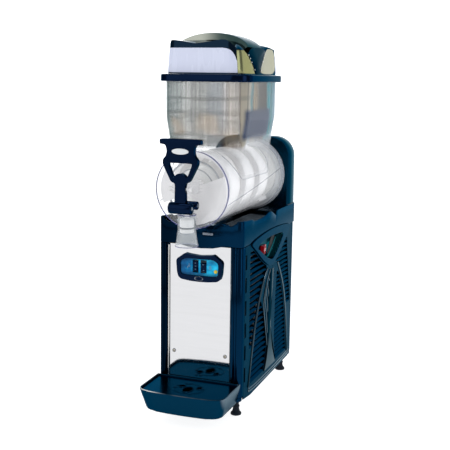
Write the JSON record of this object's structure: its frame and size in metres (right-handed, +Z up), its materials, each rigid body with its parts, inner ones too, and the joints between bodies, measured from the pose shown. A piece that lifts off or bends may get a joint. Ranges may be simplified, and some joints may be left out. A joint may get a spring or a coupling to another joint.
{
  "type": "slushie machine",
  "caption": "Countertop frozen-drink dispenser: a cooled drum and auger in a clear pull-off bowl with lit lid, a pull-handle tap, control panel and drip tray on a louvred cabinet.",
  "frame": {"origin": "on the counter under the middle of the machine's box, at the level of the feet's soles", "axes": "+Z up, +Y from the tap side to the back, +X to the right of a person facing the tap"},
  "size_m": [0.214, 0.529, 0.86],
  "materials": {
    "navy_plastic": "gloss moulded dark navy plastic",
    "black_plastic": "gloss black plastic",
    "brushed_steel": "fine horizontal brushing",
    "zinc_sheet": "zinc-plated sheet",
    "clear_bowl": "clear moulded polycarbonate",
    "white_plastic": "white food-safe plastic",
    "lamp_diffuser": "translucent white light panel",
    "rubber": "moulded rubber",
    "silicone": "pale silicone",
    "blue_display": "lit blue panel",
    "amber_lens": "amber lens",
    "red_lens": "lit red rocker",
    "machine_paint": "black enamel",
    "copper": "drawn copper",
    "silver_badge": "satin silver",
    "bright_steel": "ground stainless steel"
  },
  "bodies": {
    "cabinet": {"post_front_left": "navy_plastic", "post_front_right": "navy_plastic", "post_rear_left": "navy_plastic", "post_rear_right": "navy_plastic", "side_panel_left": "navy_plastic", "side_panel_right": "navy_plastic", "side_recess_left": "navy_plastic", "side_recess_right": "navy_plastic", "top_deck": "navy_plastic", "rear_housing": "navy_plastic", "display_bezel": "black_plastic", "display_plate": "blue_display", "indicator_lamp": "amber_lens", "power_inlet": "black_plastic", "control_box": "black_plastic", "control_board": "silver_badge", "front_panel": "brushed_steel", "panel_screw_left": "brushed_steel", "panel_screw_right": "brushed_steel", "chassis_base": "zinc_sheet", "rear_panel": "zinc_sheet", "condenser": "zinc_sheet", "fan_bracket": "zinc_sheet", "gear_motor": "zinc_sheet", "foot_front_left": "rubber", "foot_front_right": "rubber", "foot_rear_left": "rubber", "foot_rear_right": "rubber", "bowl_gasket": "silicone", "shaft_seal": "silicone", "gearbox": "machine_paint", "compressor": "machine_paint", "fan_shroud": "machine_paint", "fan_motor": "machine_paint", "filter_drier": "copper", "evaporator_drum": "bright_steel"},
    "auger": {"auger": "white_plastic", "auger_nose": "white_plastic", "drive_shaft": "bright_steel"},
    "fan": {"fan_blades": "zinc_sheet"},
    "bowl": {"bowl": "clear_bowl", "tap_pivot_pin": "white_plastic", "tap_spring": "bright_steel"},
    "lid": {"lid": "black_plastic", "lid_canopy": "black_plastic", "lid_front_light": "lamp_diffuser", "lid_rear_light": "lamp_diffuser", "lamp_board": "white_plastic"},
    "handle": {"tap_handle": "black_plastic", "handle_badge": "silver_badge"},
    "piston": {"tap_piston": "white_plastic", "piston_seal": "rubber", "piston_bar": "black_plastic"},
    "tray": {"drip_tray": "navy_plastic"},
    "grid": {"drip_grid": "navy_plastic"},
    "power_rocker": {"power_rocker": "red_lens"},
    "mode_rocker": {"mode_rocker": "black_plastic"},
    "light_rocker": {"light_rocker": "black_plastic"}
  },
  "joints": [
    {"name": "auger_spin", "type": "hinge", "parent": "cabinet", "child": "auger", "pos_m": [0, 0.0105, 0.523], "axis": [0, 1, 0], "continuous": true},
    {"name": "fan_spin", "type": "hinge", "parent": "cabinet", "child": "fan", "pos_m": [0, -0.0255, 0.14], "axis": [0, 1, 0], "continuous": true},
    {"name": "bowl_pull", "type": "slide", "parent": "cabinet", "child": "bowl", "axis": [0, -1, 0], "range_m": [0, 0.36]},
    {"name": "lid_lift", "type": "slide", "parent": "bowl", "child": "lid", "axis": [0, 0, 1], "range_m": [0, 0.15]},
    {"name": "tap_lever", "type": "hinge", "parent": "bowl", "child": "handle", "pos_m": [0, -0.2475, 0.532], "axis": [1, 0, 0], "range_deg": [0, 22], "stiffness_Nm_per_rad": 0.8, "springref_deg": -17.19},
    {"name": "tap_piston", "type": "slide", "parent": "bowl", "child": "piston", "axis": [0, 0, 1], "range_m": [0, 0.0145]},
    {"name": "tray_pull", "type": "slide", "parent": "cabinet", "child": "tray", "axis": [0, -1, 0], "range_m": [0, 0.12]},
    {"name": "grid_lift", "type": "slide", "parent": "tray", "child": "grid", "axis": [0, 0, 1], "range_m": [0, 0.06]},
    {"name": "power_switch", "type": "hinge", "parent": "cabinet", "child": "power_rocker", "pos_m": [0.076, 0.044, 0.3572], "axis": [0, 0, 1], "range_deg": [-20, 0]},
    {"name": "mode_switch", "type": "hinge", "parent": "cabinet", "child": "mode_rocker", "pos_m": [-0.0096, -0.1345, 0.3461], "axis": [1, 0, 0], "range_deg": [-12, 12]},
    {"name": "light_switch", "type": "hinge", "parent": "cabinet", "child": "light_rocker", "pos_m": [0.0096, -0.1345, 0.3461], "axis": [1, 0, 0], "range_deg": [-24, 0]}
  ],
  "couplings": [
    {"joint": "tap_piston", "follows": "tap_lever", "m_per_rad": 0.037}
  ]
}
